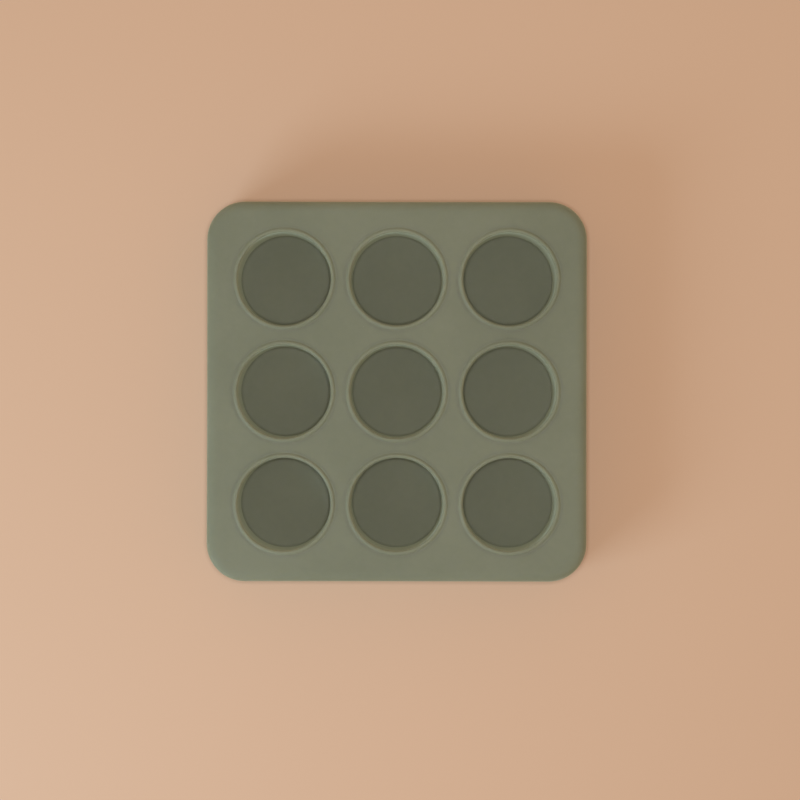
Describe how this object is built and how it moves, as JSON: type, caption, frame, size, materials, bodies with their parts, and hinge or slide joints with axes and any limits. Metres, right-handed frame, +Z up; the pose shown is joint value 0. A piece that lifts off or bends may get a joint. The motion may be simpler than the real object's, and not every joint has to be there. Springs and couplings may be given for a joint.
{
  "type": "baby food freezer tray",
  "caption": "Square silicone freezer tray with a grid of deep round cups, a raised lip round each mouth, a full-height skirt, and cup floors that push up to release frozen portions.",
  "frame": {"origin": "middle of the tray's base, on the surface that the skirt stands on", "axes": "+Z up out of the cups; +X to the right and +Y to the back, along the rows and columns of cups"},
  "size_m": [0.2, 0.2, 0.045],
  "materials": {
    "tray_silicone": "matte moulded silicone, sage green",
    "cup_silicone": "matte moulded silicone, sage green"
  },
  "bodies": {
    "tray": {"deck": "tray_silicone", "skirt": "tray_silicone", "cup_wall_1": "tray_silicone", "cup_wall_2": "tray_silicone", "cup_wall_3": "tray_silicone", "cup_wall_4": "tray_silicone", "cup_wall_5": "tray_silicone", "cup_wall_6": "tray_silicone", "cup_wall_7": "tray_silicone", "cup_wall_8": "tray_silicone", "cup_wall_9": "tray_silicone"},
    "floor_1": {"cup_floor_1": "cup_silicone"},
    "floor_2": {"cup_floor_2": "cup_silicone"},
    "floor_3": {"cup_floor_3": "cup_silicone"},
    "floor_4": {"cup_floor_4": "cup_silicone"},
    "floor_5": {"cup_floor_5": "cup_silicone"},
    "floor_6": {"cup_floor_6": "cup_silicone"},
    "floor_7": {"cup_floor_7": "cup_silicone"},
    "floor_8": {"cup_floor_8": "cup_silicone"},
    "floor_9": {"cup_floor_9": "cup_silicone"}
  },
  "joints": [
    {"name": "push_up_1", "type": "slide", "parent": "tray", "child": "floor_1", "axis": [0, 0, 1], "range_m": [0, 0.012], "stiffness_N_per_m": 500},
    {"name": "push_up_2", "type": "slide", "parent": "tray", "child": "floor_2", "axis": [0, 0, 1], "range_m": [0, 0.012], "stiffness_N_per_m": 500},
    {"name": "push_up_3", "type": "slide", "parent": "tray", "child": "floor_3", "axis": [0, 0, 1], "range_m": [0, 0.012], "stiffness_N_per_m": 500},
    {"name": "push_up_4", "type": "slide", "parent": "tray", "child": "floor_4", "axis": [0, 0, 1], "range_m": [0, 0.012], "stiffness_N_per_m": 500},
    {"name": "push_up_5", "type": "slide", "parent": "tray", "child": "floor_5", "axis": [0, 0, 1], "range_m": [0, 0.012], "stiffness_N_per_m": 500},
    {"name": "push_up_6", "type": "slide", "parent": "tray", "child": "floor_6", "axis": [0, 0, 1], "range_m": [0, 0.012], "stiffness_N_per_m": 500},
    {"name": "push_up_7", "type": "slide", "parent": "tray", "child": "floor_7", "axis": [0, 0, 1], "range_m": [0, 0.012], "stiffness_N_per_m": 500},
    {"name": "push_up_8", "type": "slide", "parent": "tray", "child": "floor_8", "axis": [0, 0, 1], "range_m": [0, 0.012], "stiffness_N_per_m": 500},
    {"name": "push_up_9", "type": "slide", "parent": "tray", "child": "floor_9", "axis": [0, 0, 1], "range_m": [0, 0.012], "stiffness_N_per_m": 500}
  ]
}
